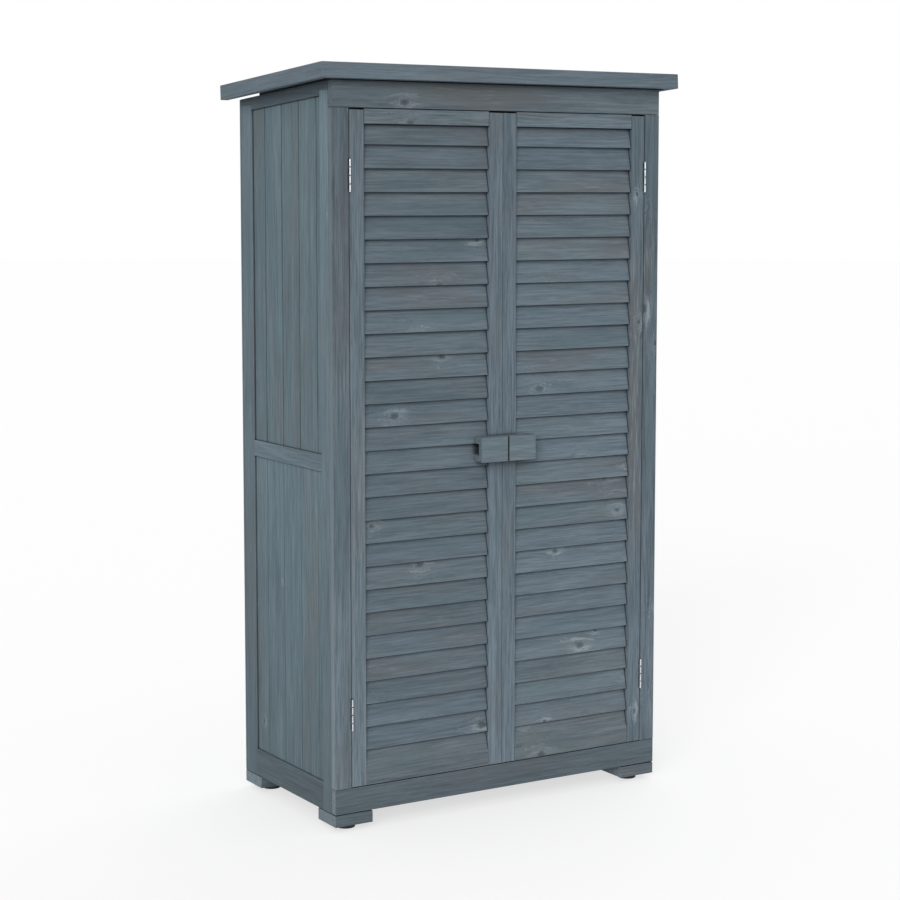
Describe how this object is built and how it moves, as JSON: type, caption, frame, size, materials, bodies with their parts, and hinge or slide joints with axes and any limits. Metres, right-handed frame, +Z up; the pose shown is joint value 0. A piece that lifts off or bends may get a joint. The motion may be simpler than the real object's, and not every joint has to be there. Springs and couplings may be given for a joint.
{
  "type": "garden tool shed",
  "caption": "Tall narrow timber garden cabinet with louvred double doors, framed board sides, inner shelves, a sliding wooden latch and a gently sloping lean-to roof.",
  "frame": {"origin": "on the ground, at the middle of the bounding box seen from above", "axes": "+Z up, the doors face -Y, +X to the right of someone facing the doors"},
  "size_m": [0.8952, 0.4794, 1.6],
  "materials": {
    "stained_frame": "slate grey stain, matt",
    "stained_boards": "slate grey stain, matt",
    "stained_slats": "slate grey stain, matt",
    "inner_timber": "slate grey stain, matt",
    "roof_felt": "mineral bitumen felt",
    "hinge_steel": "zinc plated",
    "glide_plastic": "black"
  },
  "bodies": {
    "cabinet": {"header_board": "stained_frame", "plinth_board": "stained_frame", "left_post": "stained_frame", "right_post": "stained_frame", "left_front_stile": "stained_frame", "left_back_stile": "stained_frame", "left_top_rail": "stained_frame", "left_mid_rail": "stained_frame", "left_bottom_rail": "stained_frame", "left_upper_boards": "stained_boards", "left_lower_boards": "stained_boards", "right_front_stile": "stained_frame", "right_back_stile": "stained_frame", "right_top_rail": "stained_frame", "right_mid_rail": "stained_frame", "right_bottom_rail": "stained_frame", "right_upper_boards": "stained_boards", "right_lower_boards": "stained_boards", "back_boards": "stained_boards", "back_top_rail": "inner_timber", "back_mid_rail": "inner_timber", "back_bottom_rail": "inner_timber", "floor_boards": "inner_timber", "floor_bearers": "inner_timber", "lower_shelf": "inner_timber", "upper_shelf": "inner_timber", "shelf_cleats": "inner_timber", "roof_deck": "inner_timber", "roof_bearers": "inner_timber", "door_stop": "inner_timber", "roof_felt": "roof_felt", "front_fascia": "stained_frame", "left_fascia": "stained_frame", "right_fascia": "stained_frame", "foot_front_left": "stained_frame", "foot_front_right": "stained_frame", "foot_back_left": "stained_frame", "foot_back_right": "stained_frame", "glides": "glide_plastic", "frame_hinge_leaves": "hinge_steel", "hinge_pins": "hinge_steel", "frame_hinge_screws": "hinge_steel"},
    "left_door": {"left_door_hinge_stile": "stained_frame", "left_door_meeting_stile": "stained_frame", "left_door_top_rail": "stained_frame", "left_door_bottom_rail": "stained_frame", "left_door_slats": "stained_slats", "latch_keeper": "stained_frame", "left_door_hinge_leaves": "hinge_steel", "left_door_hinge_screws": "hinge_steel"},
    "right_door": {"right_door_hinge_stile": "stained_frame", "right_door_meeting_stile": "stained_frame", "right_door_top_rail": "stained_frame", "right_door_bottom_rail": "stained_frame", "right_door_slats": "stained_slats", "bolt_guide": "stained_frame", "right_door_hinge_leaves": "hinge_steel", "right_door_hinge_screws": "hinge_steel"},
    "latch_bolt": {"latch_bolt": "stained_frame"}
  },
  "joints": [
    {"name": "left_door_hinge", "type": "hinge", "parent": "cabinet", "child": "left_door", "pos_m": [-0.37305, -0.21685, 0.7908], "axis": [0, 0, -1], "range_deg": [0, 170]},
    {"name": "right_door_hinge", "type": "hinge", "parent": "cabinet", "child": "right_door", "pos_m": [0.37305, -0.21685, 0.7908], "axis": [0, 0, 1], "range_deg": [0, 170]},
    {"name": "bolt_slide", "type": "slide", "parent": "right_door", "child": "latch_bolt", "axis": [-1, 0, 0], "range_m": [0, 0.034]}
  ]
}
